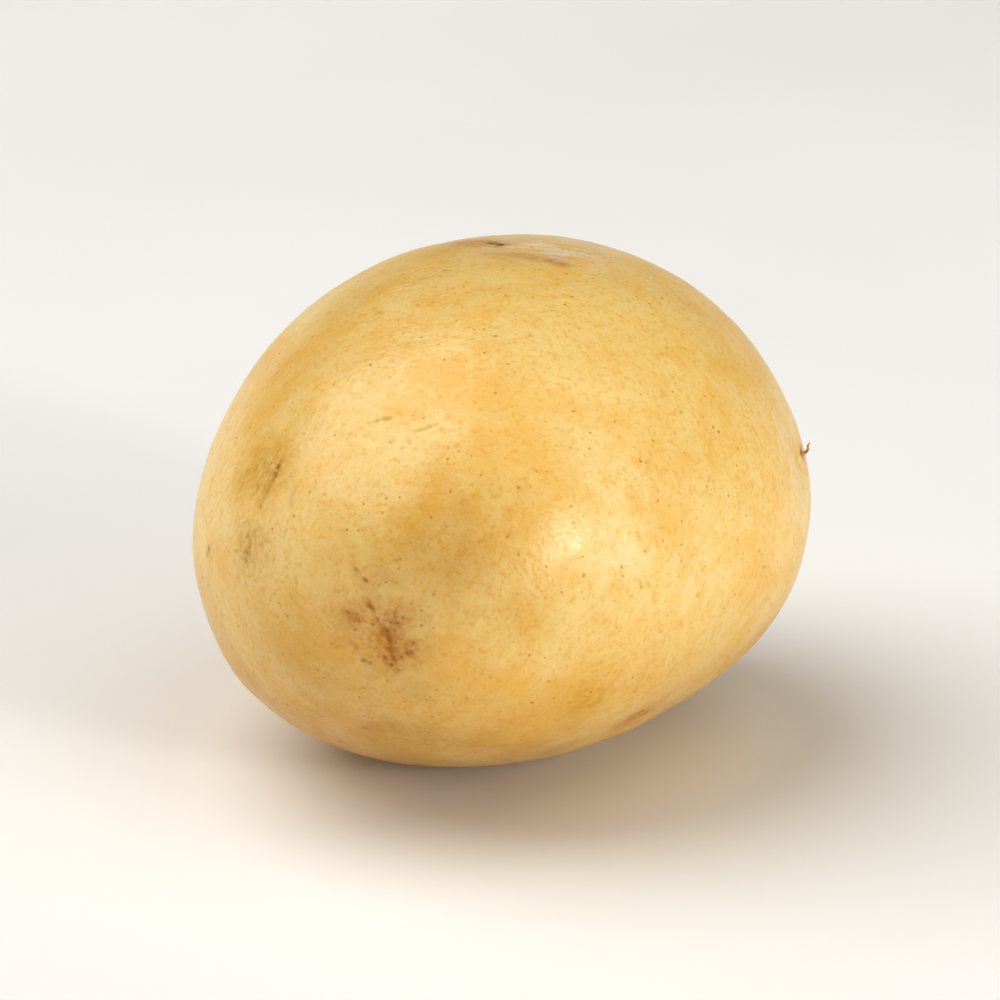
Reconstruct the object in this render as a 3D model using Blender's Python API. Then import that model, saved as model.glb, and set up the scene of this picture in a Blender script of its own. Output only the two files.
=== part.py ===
"""A whole potato, lying on the flattest part of its belly.

The tuber is one closed solid. Its long axis runs along Y: the heel, where the
stolon came away, is at -Y and the rose end, where the eyes crowd together, is
at +Y. The origin is under the middle of the tuber, on the surface it lies on.

Places on the skin are given as a station along the length, from -1 at the heel
to 1 at the rose end, and a turn around the long axis in degrees, where 0 faces
+X and 90 faces up. All sizes are in metres.
"""
import math

import bmesh
import bpy
from mathutils import Matrix, Vector

# Overall size
LENGTH = 0.084
WIDTH = 0.073
HEIGHT = 0.061

# Form of the tuber
FULLNESS = 2.06  # 2 is a plain ellipsoid, more fills out its shoulders
HEEL_TAPER = 0.07  # share by which the heel is slimmer than the middle
ROLL = math.radians(4.0)  # lean of the oval cross-section
BELLY_SINK = 0.0012  # how much of the belly the flat rest spot takes off
BELLY_BLEND = 0.0005  # height over which the flat spot runs out into the belly

# Broad swellings and flats: (station, turn, height, spread over the skin)
SWELLINGS = (
    (-0.60, 178.0, 0.0008, 0.016),
    (-0.56, -128.0, 0.0012, 0.016),
    (-0.38, -76.0, -0.0004, 0.016),
    (-0.35, 140.0, -0.0010, 0.016),
    (-0.20, -45.0, -0.0010, 0.016),
    (0.20, -14.0, 0.0013, 0.016),
    (0.50, 35.0, -0.0010, 0.016),
    (0.55, -140.0, 0.0010, 0.018),
)

# Scar of the stolon, a shallow pit at the heel
SCAR_PLACE = (-0.998, -60.0)
SCAR_DEPTH = 0.0009
SCAR_SPREAD = 0.0045

# Eyes, shallow pits that deepen and crowd together towards the rose end
HEEL_EYE_DEPTH = 0.0004
ROSE_EYE_DEPTH = 0.0008
EYE_SPREAD = 0.0035
EYE_PLACES = (
    (-0.80, 141.0),
    (-0.75, 90.0),
    (-0.40, -45.0),
    (-0.42, -150.0),
    (0.14, 88.0),
    (0.20, -115.0),
    (0.24, 13.0),
    (0.50, 165.0),
    (0.74, -60.0),
    (0.80, 80.0),
    (0.88, -160.0),
    (0.95, 10.0),
    (0.99, 120.0),
)

# Mesh of the skin
SPHERE_LEVEL = 5
REFINE_REACH = 2.0  # the mesh is halved within this many spreads of a pit

# Finish
SKIN_COLOUR = (0.72, 0.41, 0.09, 1.0)
SKIN_ROUGHNESS = 0.45

HALF_BOX = Vector((WIDTH / 2, LENGTH / 2, HEIGHT / 2))


def clear_scene():
    for item in list(bpy.data.objects):
        bpy.data.objects.remove(item, do_unlink=True)


def direction_at(station, turn):
    """Unit direction of a place on the skin, seen from the middle."""
    ring = math.sqrt(1 - station ** 2)
    angle = math.radians(turn)
    return Vector((ring * math.cos(angle), station, ring * math.sin(angle)))


def skin_distance(direction, place):
    """Distance over the skin from a unit direction to a place on it."""
    other = direction_at(*place)
    chord = Vector(half * gap for half, gap in zip(HALF_BOX, direction - other))
    return chord.length


def hump(distance, spread):
    """Bell curve, 1 in the middle and next to nothing past two spreads."""
    return math.exp(-(distance / spread) ** 2)


def eye_depth(station):
    """Depth of an eye, growing evenly from the heel to the rose end."""
    share = (station + 1) / 2
    return HEEL_EYE_DEPTH + share * (ROSE_EYE_DEPTH - HEEL_EYE_DEPTH)


def relief_at(direction):
    """Height of the skin's swellings and pits over the plain form."""
    relief = 0.0
    for station, turn, height, spread in SWELLINGS:
        relief += height * hump(skin_distance(direction, (station, turn)), spread)
    for station, turn in EYE_PLACES:
        distance = skin_distance(direction, (station, turn))
        relief -= eye_depth(station) * hump(distance, EYE_SPREAD)
    relief -= SCAR_DEPTH * hump(skin_distance(direction, SCAR_PLACE), SCAR_SPREAD)
    return relief


def body_point(direction, form):
    """Point of the skin in a unit direction, from the middle of the tuber."""
    power_sum = sum(abs(part) ** FULLNESS for part in direction)
    point = form @ (direction / power_sum ** (1 / FULLNESS))
    slimming = 1 + HEEL_TAPER * direction.y
    point.x *= slimming
    point.z *= slimming
    return point + relief_at(direction) * point.normalized()


def refine_around_pits(mesh):
    """Halve the edges of the unit sphere's mesh around each pit."""
    pits = [(place, EYE_SPREAD) for place in EYE_PLACES]
    pits.append((SCAR_PLACE, SCAR_SPREAD))
    near_edges = []
    for edge in mesh.edges:
        middle = (edge.verts[0].co + edge.verts[1].co).normalized()
        if any(skin_distance(middle, place) < REFINE_REACH * spread for place, spread in pits):
            near_edges.append(edge)
    bmesh.ops.subdivide_edges(mesh, edges=near_edges, cuts=1, use_grid_fill=True)
    bmesh.ops.triangulate(mesh, faces=mesh.faces[:])
    for vertex in mesh.verts:
        vertex.co.normalize()


def fit_to_box(mesh, height):
    """Scale the body to its overall sizes and stand it centred on the ground."""
    for axis, size in enumerate((WIDTH, LENGTH, height)):
        places = [vertex.co[axis] for vertex in mesh.verts]
        low, high = min(places), max(places)
        start = 0.0 if axis == 2 else -size / 2
        for vertex in mesh.verts:
            vertex.co[axis] = start + (vertex.co[axis] - low) * size / (high - low)


def press_belly_flat(mesh):
    """Flatten the lowest part of the belly and run it out smoothly."""
    for vertex in mesh.verts:
        rise = vertex.co.z - BELLY_SINK
        if rise < -BELLY_BLEND:
            vertex.co.z = 0.0
        elif rise < BELLY_BLEND:
            vertex.co.z = (rise + BELLY_BLEND) ** 2 / (4 * BELLY_BLEND)
        else:
            vertex.co.z = rise


def tuber_mesh():
    """Mesh of the whole tuber, built on a unit sphere."""
    mesh = bmesh.new()
    bmesh.ops.create_icosphere(mesh, subdivisions=SPHERE_LEVEL, radius=1.0)
    refine_around_pits(mesh)
    roll = Matrix.Rotation(-ROLL, 3, "Y")
    form = roll @ Matrix.Diagonal(HALF_BOX) @ roll.transposed()
    for vertex in mesh.verts:
        vertex.co = body_point(vertex.co.normalized(), form)
    fit_to_box(mesh, HEIGHT + BELLY_SINK)
    press_belly_flat(mesh)
    bmesh.ops.recalc_face_normals(mesh, faces=mesh.faces[:])
    return mesh


def skin_material():
    material = bpy.data.materials.new("skin")
    material.use_nodes = True
    shader = material.node_tree.nodes["Principled BSDF"]
    shader.inputs["Base Color"].default_value = SKIN_COLOUR
    shader.inputs["Roughness"].default_value = SKIN_ROUGHNESS
    shader.inputs["Metallic"].default_value = 0.0
    return material


def make_potato():
    data = bpy.data.meshes.new("potato")
    mesh = tuber_mesh()
    mesh.to_mesh(data)
    mesh.free()
    data.shade_smooth()
    data.materials.append(skin_material())
    potato = bpy.data.objects.new("potato", data)
    bpy.context.scene.collection.objects.link(potato)
    return potato


def main():
    clear_scene()
    make_potato()


main()
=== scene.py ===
import math

import bmesh
import bpy
import numpy as np
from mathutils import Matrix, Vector, noise
from mathutils.bvhtree import BVHTree


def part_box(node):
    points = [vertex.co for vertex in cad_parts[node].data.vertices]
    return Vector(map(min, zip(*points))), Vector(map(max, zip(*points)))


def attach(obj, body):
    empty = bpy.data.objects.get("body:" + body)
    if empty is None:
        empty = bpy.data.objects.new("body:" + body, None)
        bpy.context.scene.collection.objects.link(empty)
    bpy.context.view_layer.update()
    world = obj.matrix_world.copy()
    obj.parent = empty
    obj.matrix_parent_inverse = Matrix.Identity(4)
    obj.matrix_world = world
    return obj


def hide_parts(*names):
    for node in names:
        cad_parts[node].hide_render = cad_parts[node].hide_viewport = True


# A raw, washed potato with thin yellow skin, at rest on a pale floor. The CAD body's surface is smoothed
# onto an even mesh, and the eyes, the scar and other details are worked into it. Everything hidden from
# the camera is finished too.

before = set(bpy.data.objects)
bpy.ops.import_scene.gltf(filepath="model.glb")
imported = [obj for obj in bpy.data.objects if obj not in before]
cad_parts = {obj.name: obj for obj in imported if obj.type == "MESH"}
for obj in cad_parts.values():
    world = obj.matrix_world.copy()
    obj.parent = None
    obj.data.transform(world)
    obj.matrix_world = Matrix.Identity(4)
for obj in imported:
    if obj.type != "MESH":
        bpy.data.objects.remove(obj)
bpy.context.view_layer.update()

NODE = "potato"
MM = 0.001

# The tuber's box. Its long axis runs along Y, from the heel at -Y to the rose end at +Y.
LOW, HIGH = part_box(NODE)
MIDDLE = (LOW + HIGH) / 2
HALF = np.array(HIGH - LOW) / 2

# Places on the skin are (station, turn), as in the CAD: a station along Y from -1 at the heel to 1
# at the rose end, and a turn around the long axis in degrees, 0 facing +X and 90 facing up.
SCAR = (-0.998, -60.0)
HEEL_LEFT_EYE = (-0.80, 141.0)
HEEL_LEFT_NICK = (-0.731, 177.0)
HEEL_TOP_EYE = (-0.75, 90.0)
LOW_RIGHT_EYE = (-0.40, -45.0)
ROOT_EYE = (0.24, 13.0)
ROOT_NOTCH = (0.33, 11.5)
CREST = (0.17, 95.0)
# Eyes that follow one pattern: (place, width across in mm, how strongly it is marked)
PLAIN_EYES = (
    ((-0.42, -150.0), 6.0, 0.7),
    ((0.14, 88.0), 5.0, 0.5),
    ((0.20, -115.0), 6.5, 0.7),
    ((0.50, 165.0), 7.5, 0.9),
    ((0.74, -60.0), 7.0, 0.9),
    ((0.80, 80.0), 7.5, 1.0),
    ((0.88, -160.0), 6.5, 1.0),
    ((0.95, 10.0), 6.0, 1.0),
    ((0.99, 120.0), 5.0, 1.0),
)

# Blemishes, among them painted shade and painted highlight: (station, turn, radius in mm, strength)
OLIVE_BLOTCHES = (
    (-0.70, -34.0, 3.6, 0.8),
    (-0.72, -88.0, 4.5, 0.8),
    (-0.86, -75.0, 3.0, 0.5),
    (-0.10, 150.0, 5.0, 0.4),
    (0.40, -60.0, 6.0, 0.5),
    (0.62, 120.0, 4.0, 0.4),
)
BROWN_BLOTCHES = (
    (-0.66, -110.0, 4.0, 0.5),
    (-0.55, -60.0, 2.5, 0.4),
    (0.10, -30.0, 4.0, 0.35),
    (0.55, 40.0, 5.0, 0.35),
    (0.35, 175.0, 4.0, 0.5),
)
# Tan blotches of soil. The first, broad one across the heel is painted shade: it darkens the band
# between the two lit sides.
TAN_AND_SHADE_BLOTCHES = (
    (-0.940, 52.0, 7.5, 0.70),
    (-0.88, 70.0, 5.0, 0.30),
    (-0.90, 5.0, 5.0, 0.30),
    (0.30, -160.0, 7.0, 0.4),
    (0.85, 100.0, 6.0, 0.4),
)
# Pale cream patches. The first three, on the lit right side of the heel, are painted highlight: pale
# patches where the lamps' sheen falls.
CREAM_AND_SHEEN_BLOTCHES = (
    (-0.66, 16.0, 5.0, 0.9),
    (-0.45, 2.0, 5.5, 0.8),
    (-0.60, 34.0, 4.0, 0.7),
    (-0.30, -18.0, 5.0, 0.6),
    (0.10, -155.0, 6.0, 0.6),
    (0.55, 65.0, 6.0, 0.6),
    (-0.25, 165.0, 6.0, 0.6),
)
# Where lenticels crowd together
CROWDS = (
    (-0.72, 22.0, 8.0, 1.0),
    (-0.55, 60.0, 7.0, 0.6),
    (-0.45, 10.0, 8.0, 0.7),
    (0.30, 130.0, 9.0, 0.9),
    (0.60, -10.0, 9.0, 0.9),
    (0.70, -150.0, 8.0, 0.8),
)

# The mark that each set of blotches is laid in
BLOTCHES = {
    "green": OLIVE_BLOTCHES,
    "stain": BROWN_BLOTCHES,
    "soil_and_shade": TAN_AND_SHADE_BLOTCHES,
    "cream_and_sheen": CREAM_AND_SHEEN_BLOTCHES,
    "crowd": CROWDS,
}

# Root hair: (distance out from the notch in mm, rise in mm, thickness as a share of ROOT_RADIUS)
ROOT_RADIUS = 0.13 * MM
ROOT_PATH = (
    (-0.5, 0.0, 1.3),
    (0.35, -0.20, 1.6),
    (0.75, 0.15, 1.3),
    (0.75, 0.60, 1.0),
    (1.00, 0.95, 0.6),
)

# Mesh of the skin
GRID_CUTS = 90
SMOOTH_ROUNDS = 30
FINE_REACHES = (6.5 * MM, 4.2 * MM)  # the mesh is halved this near the scar, the eyes and the notch
UV_GAP = 0.02  # margin of each square of the UV map, as a share of its width
AT_END = 0.93  # how far the skin's normal points along Y around the tuber's two ends
BELLY_FADE = (0.05 * MM, 0.9 * MM)  # heights above the flat spot between which the relief fades in
NOISE_STEP = np.array((3.7, 5.1, 7.3))  # how far apart two seeds read their noise
RAGGED = 0.22  # how far a crease strays from its line, in mm

# Marks that the material reads, each from 0 to 1 at every point of the skin
MARKS = ("dark", "stain", "green", "scuff_and_reflection", "soil_and_shade", "cream_and_sheen", "crowd")

# Studio
VIEW_AZIMUTH = 20.0
VIEW_ELEVATION = 20.0
VIEW_DISTANCE = 0.54
LENS_MM = 160.0
SENSOR_MM = 36.0
CLIP_START = 0.01
VIEW_GAMMA = 0.82
FLOOR_RADIUS = 1.1
FLOOR_DROP = 0.02 * MM  # keeps the floor just under the flat spot
WALL_FADE = (0.06, 0.12)  # sines of the elevations between which the walls fade out
WALL_STRENGTH = 0.80
CEILING_STRENGTH = 0.04
WARM_WHITE = (1.0, 0.98, 0.95, 1.0)
SOFTBOX_DISTANCE = 1.6
# (name, azimuth, elevation, width in metres, power in watts)
SOFTBOXES = (
    ("right", 70, 12, 1.25, 12.4),
    ("glint", 65, 16, 0.26, 7.0),
    ("low_left", -74, 11, 1.25, 7.3),
    ("high_left", -80, 60, 1.80, 24.5),
    ("high_right", 100, 62, 1.40, 6.6),
)


# ---------------------------------------------------------------- places and the plain skin

def direction_at(place):
    """Direction of a place on the skin, as on a unit sphere."""
    station, turn = place
    ring = math.sqrt(1 - station ** 2)
    angle = math.radians(turn)
    return np.array((ring * math.cos(angle), station, ring * math.sin(angle)))


def sphere_grid():
    """Unit sphere as six evenly divided squares."""
    grid = bmesh.new()
    bmesh.ops.create_cube(grid, size=2.0)
    bmesh.ops.subdivide_edges(grid, edges=grid.edges[:], cuts=GRID_CUTS, use_grid_fill=True)
    for vertex in grid.verts:
        bent = Vector(math.tan(part * math.pi / 4) for part in vertex.co)
        vertex.co = bent.normalized()
    return grid


def vertex_points(grid):
    """The grid's vertices as an array."""
    return np.array([vertex.co for vertex in grid.verts])


def cad_shares(directions):
    """How far the CAD surface lies along each direction, as a share of the box's ellipsoid."""
    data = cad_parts[NODE].data
    corners = [vertex.co for vertex in data.vertices]
    body = BVHTree.FromPolygons(corners, [face.vertices for face in data.polygons])
    shares = []
    for direction in directions * HALF:
        ray = Vector(direction)
        reach = body.ray_cast(MIDDLE, ray)[3]
        shares.append(reach / ray.length)
    return np.array(shares)


def relax(values, ends, rounds):
    """Blur values over a mesh, moving each towards the mean of its neighbours. ends holds the two
    vertices of each edge."""
    size = len(values)
    neighbours = np.bincount(ends.ravel(), minlength=size)
    for _ in range(rounds):
        total = np.bincount(ends[:, 0], values[ends[:, 1]], size)
        total += np.bincount(ends[:, 1], values[ends[:, 0]], size)
        values = (values + total / neighbours) / 2
    return values


def halve_near(grid, centres, reach):
    """Halve the mesh's edges within reach of any of the centres."""
    points = vertex_points(grid) * HALF
    near = np.zeros(len(points), bool)
    for centre in centres:
        near |= np.linalg.norm(points - centre, axis=1) < reach
    grid.verts.index_update()
    edges = [edge for edge in grid.edges if all(near[end.index] for end in edge.verts)]
    bmesh.ops.subdivide_edges(grid, edges=edges, cuts=1, use_grid_fill=True)
    for vertex in grid.verts:
        vertex.co.normalize()


def plain_skin():
    """The CAD body's surface, smoothed, as (mesh of unit directions, points of the skin)."""
    grid = sphere_grid()
    ends = np.array([[end.index for end in edge.verts] for edge in grid.edges])
    shares = relax(cad_shares(vertex_points(grid)), ends, SMOOTH_ROUNDS)
    layer = grid.verts.layers.float.new("share")
    for vertex, share in zip(grid.verts, shares):
        vertex[layer] = share
    eyes = [HEEL_LEFT_EYE, HEEL_TOP_EYE, LOW_RIGHT_EYE, ROOT_EYE, ROOT_NOTCH]
    places = [SCAR] + eyes + [eye[0] for eye in PLAIN_EYES]
    centres = [direction_at(place) * HALF for place in places]
    for reach in FINE_REACHES:
        halve_near(grid, centres, reach)
    shares = np.array([vertex[layer] for vertex in grid.verts])
    directions = vertex_points(grid)
    points = np.array(MIDDLE) + directions * HALF * shares[:, None]
    return grid, directions, points


def build_mesh(grid, directions, points):
    """Blender mesh of the skin, with a map of its six squares for baking."""
    for vertex, point in zip(grid.verts, points):
        vertex.co = point
    uneven = [face for face in grid.faces if len(face.verts) > 4]
    bmesh.ops.triangulate(grid, faces=uneven)
    data = bpy.data.meshes.new("potato_skin")
    grid.to_mesh(data)
    grid.free()
    data.shade_smooth()
    map_squares(data, directions)
    return data


def map_squares(data, directions):
    """Lay the sphere's six squares side by side, three by two, in the mesh's UV map."""
    corners = np.empty(len(data.loops), np.int32)
    data.loops.foreach_get("vertex_index", corners)
    sizes = np.empty(len(data.polygons), np.int32)
    data.polygons.foreach_get("loop_total", sizes)
    face_of = np.repeat(np.arange(len(sizes)), sizes)
    middles = np.zeros((len(sizes), 3))
    np.add.at(middles, face_of, directions[corners])
    axis = np.abs(middles).argmax(1)
    sign = np.sign(middles[np.arange(len(axis)), axis])
    axis, sign = axis[face_of], sign[face_of]
    at = directions[corners]
    rows = np.arange(len(at))
    depth = np.abs(at[rows, axis])
    first = at[rows, (axis + 1) % 3] * sign
    second = at[rows, (axis + 2) % 3]
    column = np.arctan2(first, depth) / (math.pi / 2) + 0.5
    row = np.arctan2(second, depth) / (math.pi / 2) + 0.5
    across = (axis + UV_GAP + column * (1 - 2 * UV_GAP)) / 3
    up = ((sign > 0) + UV_GAP + row * (1 - 2 * UV_GAP)) / 2
    layer = data.uv_layers.new(name="OFBake")
    layer.data.foreach_set("uv", np.stack((across, up), 1).ravel().astype(np.float32))


# ---------------------------------------------------------------- working details into the skin

def falloff(distance, spread):
    """Bell curve, 1 in the middle and next to nothing past two spreads."""
    return np.exp(-(distance / spread) ** 2)


def ramp(values, low, high):
    """Smooth step from 0 at low to 1 at high."""
    share = np.clip((values - low) / (high - low), 0, 1)
    return share * share * (3 - 2 * share)


class Skin:
    """The skin's points with the height and the marks that are worked into them."""

    def __init__(self, directions, points, normals):
        self.directions = directions
        self.points = points
        self.normals = normals
        self.height = np.zeros(len(points))
        self.marks = {name: np.zeros(len(points)) for name in MARKS}

    def noise(self, size, octaves, seed, index=slice(None)):
        """Soft noise, about -1 to 1, whose largest features are about size across."""
        places = self.points[index] / size + NOISE_STEP * seed
        return np.array([noise.fractal(Vector(place), 1.0, 2.0, octaves) for place in places])

    def patch(self, place, reach):
        """The patch around a place, reach in mm."""
        return Patch(self, place, reach)


class Patch:
    """A round piece of the skin with flat axes: x to the right and y towards the rose end, as seen
    from outside. Around the two ends of the tuber y points up instead. Lengths are in mm."""

    def __init__(self, skin, place, reach):
        self.skin = skin
        middle = (skin.directions @ direction_at(place)).argmax()
        self.centre, self.out = skin.points[middle], skin.normals[middle]
        at_end = abs(self.out[1]) >= AT_END
        up = np.array((0.0, 0.0, 1.0)) if at_end else np.array((0.0, 1.0, 0.0))
        ahead = up - (up @ self.out) * self.out
        ahead /= np.linalg.norm(ahead)
        right = np.cross(ahead, self.out)
        offsets = skin.points - self.centre
        near = np.linalg.norm(offsets, axis=1) < reach * MM
        self.index = np.flatnonzero(near)
        self.x = offsets[near] @ right / MM
        self.y = offsets[near] @ ahead / MM
        # Noise that makes creases and smudges stray from their outlines and break up
        self.drift = skin.noise(1.6 * MM, 2, 5, self.index)
        self.broken = skin.noise(0.7 * MM, 2, 6, self.index)

    def lift(self, height):
        """Raise the skin by a height in mm at each point."""
        self.skin.height[self.index] += height * MM

    def mark(self, name, strength):
        """Lay a mark over the patch where it is stronger than what is there."""
        marks = self.skin.marks[name]
        marks[self.index] = np.maximum(marks[self.index], np.clip(strength, 0, 1))

    def stroke(self, start, end, bend=0.0):
        """(taper, side) of each point along an arc from start to end: taper is 1 half-way and 0
        past the ends, and side is how far to the arc's left the point lies. bend is how far the
        arc's middle bows out to its left."""
        start, end = np.array(start), np.array(end)
        middle, half = (start + end) / 2, (end - start) / 2
        length = math.hypot(*half)
        forward = half / length
        x, y = self.x - middle[0], self.y - middle[1]
        share = (x * forward[0] + y * forward[1]) / length
        side = y * forward[0] - x * forward[1] - bend * (1 - share ** 2)
        side += RAGGED * self.drift
        taper = np.sqrt(np.clip(1 - share ** 2, 0, 1))
        return taper, side

    def crease(self, start, end, bend=0.0, width=0.35, depth=0.15, lip=0.0, dark=0.0, stain=0.0):
        """Cut a groove along an arc, with a soft lip on its left, and darken it."""
        taper, side = self.stroke(start, end, bend)
        taper = taper * np.clip(0.85 + 0.6 * self.broken, 0.2, 1.2)
        groove = taper * falloff(side, width)
        self.lift(lip * taper * falloff(side - 1.9 * width, 1.2 * width) - depth * groove)
        self.mark("dark", dark * taper * falloff(side, 0.8 * width))
        self.mark("stain", stain * taper * falloff(side, 2.5 * width))

    def pit(self, at, radius, depth=0.0, dark=0.0, stain=0.0):
        """Press a round pit into the skin and darken it. A negative depth raises a bud."""
        distance = np.hypot(self.x - at[0], self.y - at[1])
        self.lift(-depth * falloff(distance, radius))
        self.mark("dark", dark * falloff(distance, 0.8 * radius))
        self.mark("stain", stain * falloff(distance, 2.0 * radius))

    def smudge(self, name, at, spread, strength):
        """Lay a soft, uneven oval mark; spread is (half width, half height)."""
        distance = np.hypot((self.x - at[0]) / spread[0], (self.y - at[1]) / spread[1])
        distance = distance + 0.35 * self.drift * ramp(distance, 0.2, 1.0)
        self.mark(name, strength * falloff(distance, 1.0))


def work_in_undulation(skin):
    """Broad, shallow waves and fine wrinkles that keep the skin from looking turned."""
    # (height in mm, size across in mm, seed)
    for height, size, seed in ((0.20, 14, 1), (0.07, 5, 2), (0.018, 1.6, 3)):
        skin.height += height * MM * skin.noise(size * MM, 2, seed)


def work_in_scar(skin):
    """The dent, the slit and the specks where the stolon came away from the heel."""
    scar = skin.patch(SCAR, 14)
    distance = np.hypot(scar.x, scar.y)
    scar.lift(-0.25 * falloff(distance, 2.6) + 0.10 * falloff(distance - 3.4, 1.0))
    scar.smudge("stain", (-0.6, -0.1), (6.4, 5.8), 0.55)
    halo = (
        (-3.4, 1.6, 2.6), (1.4, 1.8, 2.5), (2.8, -1.4, 2.5), (0.7, -2.8, 2.4), (-0.2, 0.6, 2.2),
    )
    for x, y, spread in halo:
        scar.smudge("stain", (x, y), (spread, spread), 0.78)
    scar.smudge("stain", (0.1, -0.3), (4.4, 4.0), 0.78)
    scar.smudge("stain", (0.6, -1.2), (1.9, 2.4), 1.0)
    scar.smudge("stain", (-1.8, 6.2), (2.4, 2.0), 0.4)
    scar.crease((-0.7, 1.0), (0.8, -1.1), width=0.55, depth=0.38, lip=0.12, dark=0.22, stain=1.0)
    scar.crease((-2.2, 4.4), (-1.0, 2.0), bend=0.1, width=0.30, depth=0.08, dark=0.25, stain=1.0)
    scar.crease((-1.1, 2.1), (-0.4, 1.0), width=0.34, depth=0.08, dark=0.15, stain=1.0)
    scar.crease((0.8, -0.9), (1.3, -3.0), bend=-0.1, width=0.60, depth=0.12, dark=0.28, stain=1.0)
    specks = (
        (1.1, -3.0, 0.46), (0.8, -3.8, 0.34), (0.1, -3.0, 0.36), (2.8, -2.1, 0.36),
        (2.1, -2.7, 0.24), (-2.5, -3.7, 0.30), (-1.8, -3.9, 0.20), (1.7, 1.5, 0.24),
        (-1.3, 0.9, 0.22), (-2.9, 1.2, 0.22), (-4.2, 2.2, 0.22), (3.6, -0.7, 0.22),
        (1.3, 0.4, 0.22), (-3.2, 7.0, 0.24), (-2.0, 6.2, 0.24), (1.6, -4.4, 0.22),
        (2.4, 2.3, 0.24), (0.9, 1.4, 0.20), (-3.4, 0.1, 0.24), (3.3, -1.9, 0.24),
    )
    for x, y, radius in specks:
        scar.pit((x, y), radius, depth=0.06, dark=0.75, stain=0.6)


def work_in_heel_left_eye(skin):
    """A worn eye: a broken crease by two scratched, grey-green smudges, with a nick beside them."""
    eye = skin.patch(HEEL_LEFT_EYE, 16)
    eye.crease((2.9, 1.2), (1.0, -0.5), bend=0.2, width=0.34, depth=0.26, lip=0.08, dark=0.8)
    eye.crease((1.2, -0.4), (-0.3, -1.6), bend=-0.2, width=0.30, depth=0.16, dark=0.5)
    eye.crease((-0.2, -1.5), (-1.9, -2.1), bend=0.1, width=0.30, depth=0.08, dark=0.3)
    eye.crease((4.3, 2.7), (2.7, 1.0), bend=0.2, width=0.36, depth=0.06, dark=0.15)
    eye.smudge("green", (0.4, 1.2), (4.2, 4.6), 0.9)
    eye.smudge("green", (1.4, 0.3), (2.2, 3.0), 1.0)
    eye.smudge("green", (-4.6, -5.0), (3.4, 3.6), 0.95)
    pits = (
        (-6.6, -6.1), (-5.8, -5.6), (-3.3, -6.6), (-6.2, -5.4), (-4.6, -4.4), (3.1, 1.2),
    )
    for x, y in pits:
        eye.pit((x, y), 0.28, depth=0.05, dark=0.65)
    near_scratches = (
        (0.2, 2.6), (-0.6, 1.2), (1.4, 1.9), (-1.4, 0.1), (2.3, 2.6), (0.6, 0.3), (-0.4, -0.6),
    )
    for x, y in near_scratches:
        eye.crease((x + 0.7, y + 0.5), (x - 0.7, y - 0.6), width=0.2, depth=0.04, dark=0.28)
    far_scratches = ((-4.2, -4.0), (-5.0, -5.0), (-4.0, -5.4), (-5.6, -6.2))
    for x, y in far_scratches:
        eye.crease((x + 0.6, y + 0.6), (x - 0.6, y - 0.6), width=0.2, depth=0.04, dark=0.25)
    eye.crease((3.6, -4.0), (2.6, -5.2), width=0.3, depth=0.05, dark=0.3)
    eye.crease((1.0, -7.0), (-0.6, -8.2), width=0.35, depth=0.05, dark=0.3)
    nick = skin.patch(HEEL_LEFT_NICK, 6)
    nick.crease((-0.5, 0.8), (0.1, -0.7), width=0.24, depth=0.10, dark=0.5, stain=0.4)
    nick.crease((0.7, 0.6), (0.1, -0.2), width=0.22, depth=0.08, dark=0.4, stain=0.4)


def work_in_heel_top_eye(skin):
    """A shallow eye: two short creases side by side over a row of tiny pits."""
    eye = skin.patch(HEEL_TOP_EYE, 12)
    eye.crease((-4.8, -0.6), (-1.9, 0.6), bend=0.15, width=0.30, depth=0.14, lip=0.12)
    eye.crease((0.7, -1.0), (3.8, 0.5), bend=-0.15, width=0.30, depth=0.14, lip=0.12)
    eye.crease((-1.3, -0.3), (0.4, 0.3), bend=0.1, width=0.26, depth=0.06, lip=0.04)
    eye.crease((1.0, 1.0), (2.8, 1.8), bend=-0.1, width=0.26, depth=0.06, lip=0.04)
    for x, y in ((-6.6, -1.7), (-4.8, -1.9), (-1.2, -2.2), (0.8, -2.1), (4.5, -2.3)):
        eye.pit((x, y), 0.28, depth=0.08, dark=0.08, stain=0.15)


def work_in_low_right_eye(skin):
    """A short, dark cut low on the right flank, with a fine line above it."""
    eye = skin.patch(LOW_RIGHT_EYE, 10)
    eye.crease((-1.4, 0.6), (1.1, -0.3), bend=0.1, width=0.42, depth=0.40, lip=0.12, dark=1.0)
    eye.crease((0.8, 1.5), (-1.7, 2.6), bend=-0.1, width=0.3, depth=0.10, dark=0.5, stain=0.8)
    eye.smudge("stain", (0, 0.4), (3.0, 2.2), 0.7)


def work_in_root_eye(skin):
    """A small eye on the right flank, with a notch beside it that a dry root grew from."""
    eye = skin.patch(ROOT_EYE, 9)
    eye.crease((2.2, 0.7), (-2.2, 0.9), bend=0.8, width=0.35, depth=0.22, lip=0.12, dark=0.3)
    eye.smudge("green", (0, 0), (2.5, 2.0), 0.4)
    notch = skin.patch(ROOT_NOTCH, 5)
    notch.pit((0, 0), 0.8, depth=0.42, dark=0.7, stain=0.5)


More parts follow.
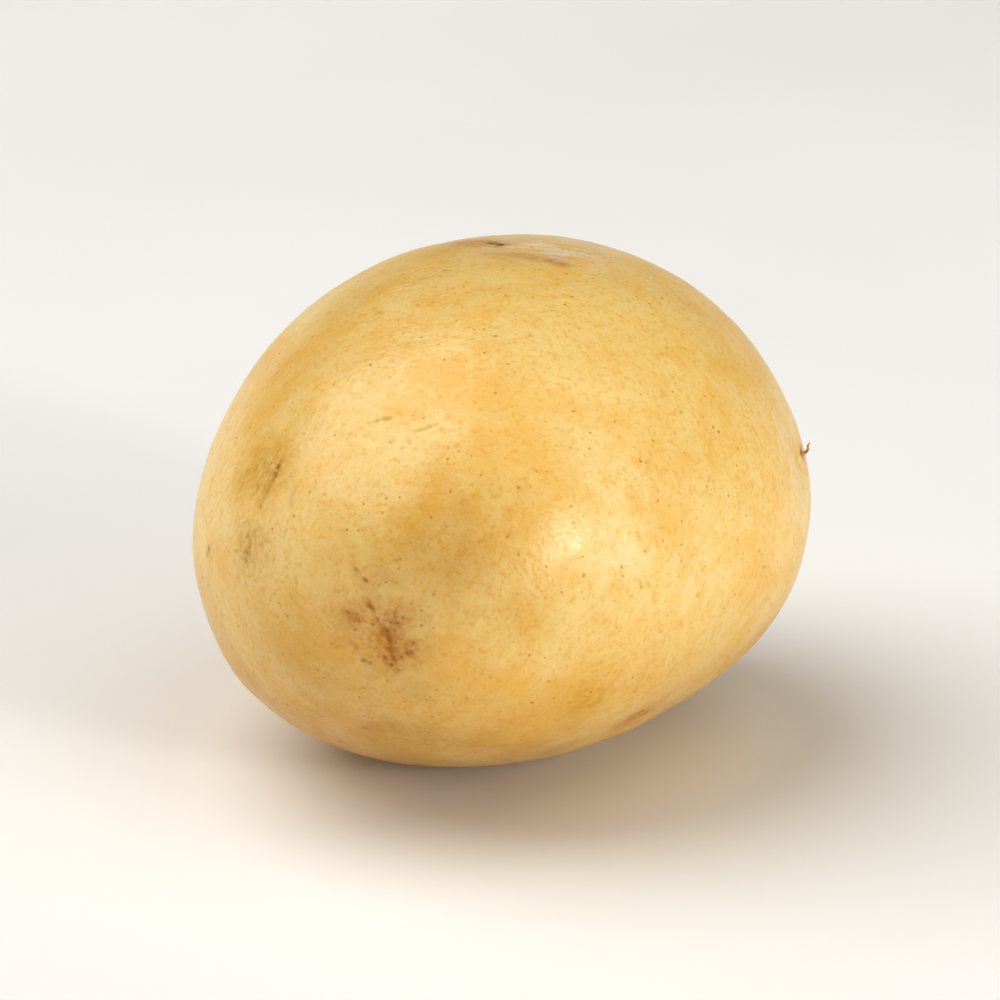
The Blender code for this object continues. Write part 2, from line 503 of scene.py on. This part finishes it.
def work_in_plain_eye(skin, place, width, strength):
    """An eye as most are: a brow bowed over a hollow that holds a few tiny buds."""
    eye = skin.patch(place, 1.6 * width)
    start, end, bend = (width / 2, -0.6), (-width / 2, -0.6), 1.5
    eye.crease(start, end, bend, width=0.42, depth=0.34 * strength, dark=0.42 * strength)
    taper, side = eye.stroke(start, end, bend)
    eye.lift(0.22 * strength * taper * falloff(side - 0.9, 0.55))
    eye.lift(-0.30 * strength * falloff(np.hypot(eye.x / 2.4, (eye.y + 0.2) / 1.3), 1.0))
    for x, y, radius in ((0.0, -0.7, 0.55), (-1.1, -0.4, 0.35), (1.0, -0.3, 0.32)):
        eye.pit((x, y), radius, depth=-0.26 * strength * radius / 0.55, stain=0.4 * strength)
    eye.smudge("green", (0, -0.4), (width * 0.55, width * 0.4), 0.5 * strength)
    eye.pit((0.5, -1.25), 0.24, depth=0.08, dark=0.7 * strength)


def work_in_crest(skin):
    """Two pairs of brown flecks and a scuffed patch on top of the tuber, whose pale lavender along the
    top rim is partly a painted reflection.
    """
    crest = skin.patch(CREST, 22)
    crest.pit((-0.6, 0.0), 0.70, depth=0.10, dark=1.0, stain=1.0)
    crest.pit((0.6, -0.4), 0.75, depth=0.12, dark=1.0, stain=1.0)
    crest.smudge("stain", (-3.0, 0.3), (4.5, 3.0), 0.8)
    crest.pit((8.6, -4.6), 0.60, depth=0.05, dark=0.2, stain=1.0)
    crest.pit((10.0, -4.9), 0.50, depth=0.04, dark=0.15, stain=1.0)
    crest.smudge("stain", (6.0, -4.4), (5.0, 1.6), 0.6)
    # Scuffed, pale lavender patch along the top rim, partly a painted reflection
    crest.smudge("scuff_and_reflection", (6.5, 0.5), (8.0, 4.4), 1.0)


def work_in_blotches_and_painted_light(skin):
    """Blotches of several colours, among them painted shade and painted highlight, and places where
    lenticels crowd together.
    """
    for name, blotches in BLOTCHES.items():
        for station, turn, reach, strength in blotches:
            patch = skin.patch((station, turn), 3 * reach)
            patch.smudge(name, (0, 0), (reach, reach), strength)


def work_in_soil_and_shade(skin):
    """Patchy brownish tint on the belly and the lower flanks, fainter towards +X: soil, and painted
    shade that darkens the skin towards the bottom.
    """
    # Painted shade: darker as the skin faces down, fainter towards +X where the right lamps light the
    # underside
    low = ramp(-skin.normals[:, 2], -0.15, 0.75)
    fainter_to_right = 1 - 0.55 * ramp(skin.normals[:, 0], 0.0, 0.7)
    patchy = 0.70 + 0.40 * skin.noise(9 * MM, 4, 11)
    skin.marks["soil_and_shade"] = np.maximum(skin.marks["soil_and_shade"], low * fainter_to_right * patchy).clip(0, 1)


def keep_belly_flat(skin):
    """Fade the relief out towards the flat spot that the tuber rests on."""
    above = skin.points[:, 2] - LOW.z
    skin.height *= ramp(above, *BELLY_FADE)


def inside_box(points):
    """Shrink the points into the CAD's box, across and along from its middle and down to its floor."""
    for axis in range(2):
        offsets = points[:, axis] - MIDDLE[axis]
        points[:, axis] = MIDDLE[axis] + offsets * min(1, HALF[axis] / np.abs(offsets).max())
    heights = np.maximum(points[:, 2] - LOW.z, 0)
    points[:, 2] = LOW.z + heights * min(1, (HIGH.z - LOW.z) / heights.max())
    return points


def outward_normals(grid, points):
    """Unit normals of the mesh with its vertices at the given points."""
    for vertex, point in zip(grid.verts, points):
        vertex.co = point
    grid.normal_update()
    return np.array([vertex.normal for vertex in grid.verts])


def make_skin():
    """The tuber's visible skin, as (object, Skin)."""
    grid, directions, points = plain_skin()
    normals = outward_normals(grid, points)
    skin = Skin(directions, points, normals)
    work_in_undulation(skin)
    work_in_scar(skin)
    work_in_heel_left_eye(skin)
    work_in_heel_top_eye(skin)
    work_in_low_right_eye(skin)
    work_in_root_eye(skin)
    for place, width, strength in PLAIN_EYES:
        work_in_plain_eye(skin, place, width, strength)
    work_in_crest(skin)
    work_in_blotches_and_painted_light(skin)
    work_in_soil_and_shade(skin)
    keep_belly_flat(skin)
    points = inside_box(points + normals * skin.height[:, None])
    data = build_mesh(grid, directions, points)
    for name, values in skin.marks.items():
        layer = data.attributes.new(name, "FLOAT", "POINT")
        layer.data.foreach_set("value", values.astype(np.float32))
    potato = bpy.data.objects.new("potato_skin", data)
    bpy.context.scene.collection.objects.link(potato)
    return potato, skin


def make_root_hair(skin):
    """A dry root, thin as thread, that sticks out of its notch and bends upwards."""
    notch = skin.patch(ROOT_NOTCH, 4)
    path = bpy.data.curves.new("root_hair", "CURVE")
    path.dimensions = "3D"
    path.bevel_depth = ROOT_RADIUS
    path.bevel_resolution = 3
    path.use_fill_caps = True
    line = path.splines.new("BEZIER")
    line.bezier_points.add(len(ROOT_PATH) - 1)
    for knot, (out, rise, thickness) in zip(line.bezier_points, ROOT_PATH):
        knot.co = notch.centre + notch.out * out * MM + np.array((0, 0, rise)) * MM
        knot.radius = thickness
        knot.handle_left_type = "AUTO"
        knot.handle_right_type = "AUTO"
    curve = bpy.data.objects.new("root_hair", path)
    data = bpy.data.meshes.new_from_object(curve)
    bpy.data.objects.remove(curve)
    data.shade_smooth()
    hair = bpy.data.objects.new("root_hair", data)
    bpy.context.scene.collection.objects.link(hair)
    return hair


# ---------------------------------------------------------------- materials

# A Mix node has sockets for every kind of data. These are its factor, its two colours and its result.
MIX_INPUTS = (0, 6, 7)
MIX_OUTPUT = 2


class Graph:
    """A material's nodes, made by short calls that return sockets."""

    def __init__(self, name):
        self.material = bpy.data.materials.new(name)
        self.material.use_nodes = True
        self.tree = self.material.node_tree
        self.shader = self.tree.nodes["Principled BSDF"]
        self.place = self.node("ShaderNodeTexCoord").outputs["Object"]

    def node(self, kind, **settings):
        """Add a node with these settings."""
        made = self.tree.nodes.new(kind)
        for name, value in settings.items():
            setattr(made, name, value)
        return made

    def feed(self, socket, value):
        """Set a socket to a number or colour, or link it to another socket."""
        if isinstance(value, bpy.types.NodeSocket):
            self.tree.links.new(value, socket)
        else:
            socket.default_value = value

    def stretched(self, stretch):
        """The place with each axis scaled, which draws a pattern out along the smaller ones."""
        made = self.node("ShaderNodeVectorMath", operation="MULTIPLY")
        self.feed(made.inputs[0], self.place)
        self.feed(made.inputs[1], stretch)
        return made.outputs["Vector"]

    def noise(self, size, detail, roughness=0.5, distortion=0.0, stretch=(1.0, 1.0, 1.0)):
        """Soft noise, 0 to 1, whose largest features are about size across."""
        made = self.node("ShaderNodeTexNoise")
        self.feed(made.inputs["Vector"], self.stretched(stretch))
        self.feed(made.inputs["Scale"], 1 / size)
        self.feed(made.inputs["Detail"], detail)
        self.feed(made.inputs["Roughness"], roughness)
        self.feed(made.inputs["Distortion"], distortion)
        return made.outputs["Fac"]

    def ragged(self, size, reach):
        """The place shifted by a fine noise, which roughens the outline of a pattern."""
        wobble = self.node("ShaderNodeTexNoise")
        self.feed(wobble.inputs["Vector"], self.place)
        self.feed(wobble.inputs["Scale"], 1 / size)
        shift = self.node("ShaderNodeVectorMath", operation="MULTIPLY_ADD")
        self.feed(shift.inputs[0], wobble.outputs["Color"])
        self.feed(shift.inputs[1], (reach, reach, reach))
        self.feed(shift.inputs[2], self.place)
        return shift.outputs["Vector"]

    def cells(self, size):
        """(distance to the nearest cell centre as a share of size, the cell's random number)"""
        made = self.node("ShaderNodeTexVoronoi")
        self.feed(made.inputs["Vector"], self.ragged(0.35 * MM, 0.35 * MM))
        self.feed(made.inputs["Scale"], 1 / size)
        split = self.node("ShaderNodeSeparateColor")
        self.feed(split.inputs["Color"], made.outputs["Color"])
        return made.outputs["Distance"], split.outputs["Red"]

    def mark(self, name):
        """How strong one of the skin's marks is."""
        return self.node("ShaderNodeAttribute", attribute_name=name).outputs["Fac"]

    def maths(self, operation, first, second):
        made = self.node("ShaderNodeMath", operation=operation)
        self.feed(made.inputs[0], first)
        self.feed(made.inputs[1], second)
        return made.outputs["Value"]

    def times(self, first, second):
        return self.maths("MULTIPLY", first, second)

    def span(self, value, low, high, to_low=0.0, to_high=1.0):
        """Map a value smoothly from low..high to to_low..to_high."""
        made = self.node("ShaderNodeMapRange", interpolation_type="SMOOTHSTEP")
        for socket, number in zip(made.inputs, (value, low, high, to_low, to_high)):
            self.feed(socket, number)
        return made.outputs["Result"]

    def blend(self, factor, under, over):
        """The colour under, covered by the colour over as far as factor says."""
        made = self.node("ShaderNodeMix", data_type="RGBA")
        factor_in, under_in, over_in = (made.inputs[place] for place in MIX_INPUTS)
        self.feed(factor_in, factor)
        self.feed(under_in, under)
        self.feed(over_in, over)
        return made.outputs[MIX_OUTPUT]

    def bump(self, height, strength, depth):
        """Normals tilted by a height pattern, where a height of 1 stands for depth."""
        made = self.node("ShaderNodeBump")
        self.feed(made.inputs["Height"], height)
        self.feed(made.inputs["Strength"], strength)
        self.feed(made.inputs["Distance"], depth)
        return made.outputs["Normal"]


# Colours of the skin
PALE = (0.80, 0.60, 0.25, 1.0)
GOLD = (0.785, 0.505, 0.138, 1.0)
OCHRE = (0.74, 0.42, 0.050, 1.0)
FLECK = (0.66, 0.31, 0.012, 1.0)
# Colours of the marks on it
# Cream of pale patches, partly a painted highlight
CREAM_AND_SHEEN = (0.84, 0.68, 0.36, 1.0)
# Soil brown, laid also as painted shade on the underside and the heel
SOIL_AND_SHADE = (0.47, 0.21, 0.004, 1.0)
OLIVE = (0.56, 0.31, 0.006, 1.0)
STAIN = (0.48, 0.175, 0.002, 1.0)
# Pale lavender of the scuff, partly a painted reflection on the top rim
LAVENDER_SCUFF_AND_REFLECTION = (0.80, 0.68, 0.58, 1.0)
SPECK = (0.46, 0.19, 0.002, 1.0)
BROWN = (0.22, 0.085, 0.001, 1.0)
# Colours of the root hair
STRAW = (0.70, 0.46, 0.16, 1.0)
ROOT_BROWN = (0.42, 0.22, 0.06, 1.0)
# Colours of the floor
FLOOR_GREY = (0.87, 0.87, 0.865, 1.0)
FLOOR_PALE = (0.89, 0.89, 0.885, 1.0)

RELIEF_DEPTH = 0.15 * MM  # what the finest relief, which only the material shows, measures
# What is the same all over the skin: a thin wax layer over a faintly translucent body
SKIN_FINISH = {
    "IOR": 1.5,
    "Specular IOR Level": 0.28,
    "Coat Weight": 0.35,
    "Coat Roughness": 0.20,
    "Subsurface Weight": 0.15,
    "Subsurface Radius": (1.0, 0.45, 0.12),
    "Subsurface Scale": 2.0 * MM,
}


def plain_colour(graph):
    """Mottled gold with ochre clouds, grain and small flecks."""
    mottle = graph.span(graph.noise(11 * MM, 5.0, 0.65, 0.4), 0.33, 0.60)
    colour = graph.blend(mottle, GOLD, PALE)
    cloud = graph.span(graph.noise(5 * MM, 6.0, 0.75), 0.48, 0.70, 0.0, 0.24)
    colour = graph.blend(cloud, colour, OCHRE)
    grain = graph.span(graph.noise(1.2 * MM, 4.0, 0.75), 0.46, 0.70, 0.0, 0.45)
    colour = graph.blend(grain, colour, OCHRE)
    flecks = graph.span(graph.noise(0.6 * MM, 2.0), 0.52, 0.76, 0.0, 0.30)
    return graph.blend(flecks, colour, FLECK)


def lay_marks_and_painted_light(graph, colour, scuff_and_reflection):
    """Lay cream islands, soil, green and stained areas and the scuff on a colour: the cream partly as
    painted highlight, the soil partly as painted shade and the scuff's pale lavender partly as a painted
    reflection.
    """
    islands = graph.span(graph.noise(2.6 * MM, 5.0, 0.7), 0.44, 0.56)
    patchy = graph.span(graph.noise(5 * MM, 6.0, 0.75), 0.3, 0.7, 0.6, 1.0)
    worn = graph.span(graph.noise(0.9 * MM, 3.0, 0.7), 0.35, 0.65)
    # (mark, how it is broken up, how far it covers, its colour)
    layers = (
        # Cream islands, partly painted highlight
        ("cream_and_sheen", islands, 0.7, CREAM_AND_SHEEN),
        # Soil, partly painted shade on the underside and the heel
        ("soil_and_shade", patchy, 0.85, SOIL_AND_SHADE),
        ("green", graph.span(worn, 0, 1, 0.40, 1.0), 0.95, OLIVE),
        ("stain", graph.span(worn, 0, 1, 0.62, 1.0), 0.95, STAIN),
    )
    for name, breaks, cover, tint in layers:
        share = graph.times(graph.mark(name), breaks)
        colour = graph.blend(graph.times(share, cover), colour, tint)
    # Pale lavender scuff, partly a painted reflection on the top rim
    return graph.blend(graph.times(scuff_and_reflection, 0.9), colour, LAVENDER_SCUFF_AND_REFLECTION)


def lenticels(graph, size, share, radius):
    """A dot in a share of the cells of one size; radius is a share of the cell's size."""
    distance, chance = graph.cells(size)
    chosen = graph.maths("LESS_THAN", chance, share)
    dot = graph.span(distance, radius, 0.35 * radius)
    return graph.times(chosen, dot)


def lenticel_dots(graph):
    """Small and large lenticels, more of both where they crowd together."""
    crowd = graph.mark("crowd")
    small = lenticels(graph, 1.4 * MM, graph.span(crowd, 0, 1, 0.35, 0.65), 0.18)
    large = lenticels(graph, 2.7 * MM, graph.span(crowd, 0, 1, 0.30, 0.75), 0.11)
    return graph.maths("MAXIMUM", graph.times(small, 0.65), graph.times(large, 0.85))


def skin_material():
    """Thin, washed potato skin: mottled gold, dotted with brown lenticels, softly waxy."""
    graph = Graph("potato_skin")
    sockets = graph.shader.inputs
    dots = lenticel_dots(graph)
    # Streaked scuff mark, partly a painted reflection on the top rim
    streaks = graph.span(graph.noise(1.2 * MM, 4.0, 0.7, stretch=(0.3, 1.0, 1.0)), 0.40, 0.60)
    scuff_and_reflection = graph.times(graph.mark("scuff_and_reflection"), streaks)

    colour = lay_marks_and_painted_light(graph, plain_colour(graph), scuff_and_reflection)
    colour = graph.blend(graph.times(dots, 0.85), colour, SPECK)
    colour = graph.blend(graph.mark("dark"), colour, BROWN)
    graph.feed(sockets["Base Color"], colour)

    waxy = graph.span(graph.noise(4 * MM, 3.0, 0.6), 0.3, 0.7, 0.36, 0.46)
    dull = graph.maths("MAXIMUM", graph.maths("MAXIMUM", dots, scuff_and_reflection), graph.mark("stain"))
    graph.feed(sockets["Roughness"], graph.maths("ADD", waxy, graph.times(dull, 0.12)))

    fine = graph.noise(0.8 * MM, 3.0, 0.6)
    relief = graph.maths("ADD", fine, graph.times(dots, -0.5))
    graph.feed(sockets["Normal"], graph.bump(relief, 0.7, RELIEF_DEPTH))
    graph.feed(sockets["Coat Normal"], graph.bump(relief, 0.32, RELIEF_DEPTH))

    for name, value in SKIN_FINISH.items():
        sockets[name].default_value = value
    return graph.material


def root_material():
    """Dry, straw-coloured root."""
    graph = Graph("dry_root")
    tone = graph.span(graph.noise(0.4 * MM, 2.0), 0.35, 0.65)
    graph.feed(graph.shader.inputs["Base Color"], graph.blend(tone, ROOT_BROWN, STRAW))
    graph.feed(graph.shader.inputs["Roughness"], graph.span(tone, 0, 1, 0.55, 0.7))
    return graph.material


def floor_material():
    """Matt, pale floor with a faint, slow change of tone."""
    graph = Graph("floor")
    tone = graph.span(graph.noise(0.15, 2.0), 0.3, 0.7)
    graph.feed(graph.shader.inputs["Base Color"], graph.blend(tone, FLOOR_GREY, FLOOR_PALE))
    graph.feed(graph.shader.inputs["Roughness"], graph.span(tone, 0, 1, 0.75, 0.85))
    graph.shader.inputs["Specular IOR Level"].default_value = 0.2
    return graph.material


# ---------------------------------------------------------------- studio

def outward(azimuth, elevation):
    """Direction towards something at that azimuth and elevation; azimuth 0 is the -Y side."""
    turn, rise = math.radians(azimuth), math.radians(elevation)
    flat = math.cos(rise)
    return Vector((math.sin(turn) * flat, -math.cos(turn) * flat, math.sin(rise)))


def look_from(item, azimuth, elevation, distance):
    """Put a camera or lamp that far from the tuber's middle and point it there."""
    back = outward(azimuth, elevation)
    item.location = MIDDLE + back * distance
    item.rotation_euler = back.to_track_quat("Z", "Y").to_euler()


def add_camera():
    """The camera, at the viewing angle given at the top."""
    data = bpy.data.cameras.new("camera")
    data.lens = LENS_MM
    data.sensor_width = SENSOR_MM
    data.clip_start = CLIP_START
    camera = bpy.data.objects.new("camera", data)
    look_from(camera, VIEW_AZIMUTH, VIEW_ELEVATION, VIEW_DISTANCE)
    bpy.context.scene.collection.objects.link(camera)
    bpy.context.scene.camera = camera


def add_softbox(name, azimuth, elevation, size, power):
    """A round, soft lamp that faces the tuber."""
    data = bpy.data.lights.new(name, "AREA")
    data.shape = "DISK"
    data.size = size
    data.energy = power
    data.color = WARM_WHITE[:3]
    lamp = bpy.data.objects.new(name, data)
    look_from(lamp, azimuth, elevation, SOFTBOX_DISTANCE)
    bpy.context.scene.collection.objects.link(lamp)


def add_floor():
    """A round floor under the tuber."""
    disc = bmesh.new()
    bmesh.ops.create_circle(disc, cap_ends=True, segments=96, radius=FLOOR_RADIUS)
    data = bpy.data.meshes.new("floor")
    disc.to_mesh(data)
    disc.free()
    floor = bpy.data.objects.new("floor", data)
    floor.location.z = LOW.z - FLOOR_DROP
    bpy.context.scene.collection.objects.link(floor)
    data.materials.append(floor_material())


def add_world():
    """A dim room whose walls are pale up to a little above the horizon."""
    world = bpy.data.worlds.new("studio")
    world.use_nodes = True
    tree = world.node_tree
    background = tree.nodes["Background"]
    background.inputs["Color"].default_value = WARM_WHITE
    way = tree.nodes.new("ShaderNodeTexCoord").outputs["Generated"]
    split = tree.nodes.new("ShaderNodeSeparateXYZ")
    tree.links.new(way, split.inputs["Vector"])
    fade = tree.nodes.new("ShaderNodeMapRange")
    fade.interpolation_type = "SMOOTHSTEP"
    tree.links.new(split.outputs["Z"], fade.inputs["Value"])
    fade.inputs["From Min"].default_value = WALL_FADE[0]
    fade.inputs["From Max"].default_value = WALL_FADE[1]
    fade.inputs["To Min"].default_value = WALL_STRENGTH
    fade.inputs["To Max"].default_value = CEILING_STRENGTH
    tree.links.new(fade.outputs["Result"], background.inputs["Strength"])
    bpy.context.scene.world = world


def make_studio():
    """Camera, lamps, floor, room and the view's tone."""
    add_camera()
    for softbox in SOFTBOXES:
        add_softbox(*softbox)
    add_floor()
    add_world()
    view = bpy.context.scene.view_settings
    view.view_transform = "Standard"
    view.look = "None"
    view.gamma = VIEW_GAMMA


def place_piece(piece, material):
    """Give a piece its material, tell the frame what it rides on, and hide the CAD part."""
    piece.data.materials.append(material)
    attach(piece, "root")
    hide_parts(NODE)


def main():
    potato, skin = make_skin()
    place_piece(potato, skin_material())
    place_piece(make_root_hair(skin), root_material())
    make_studio()


main()
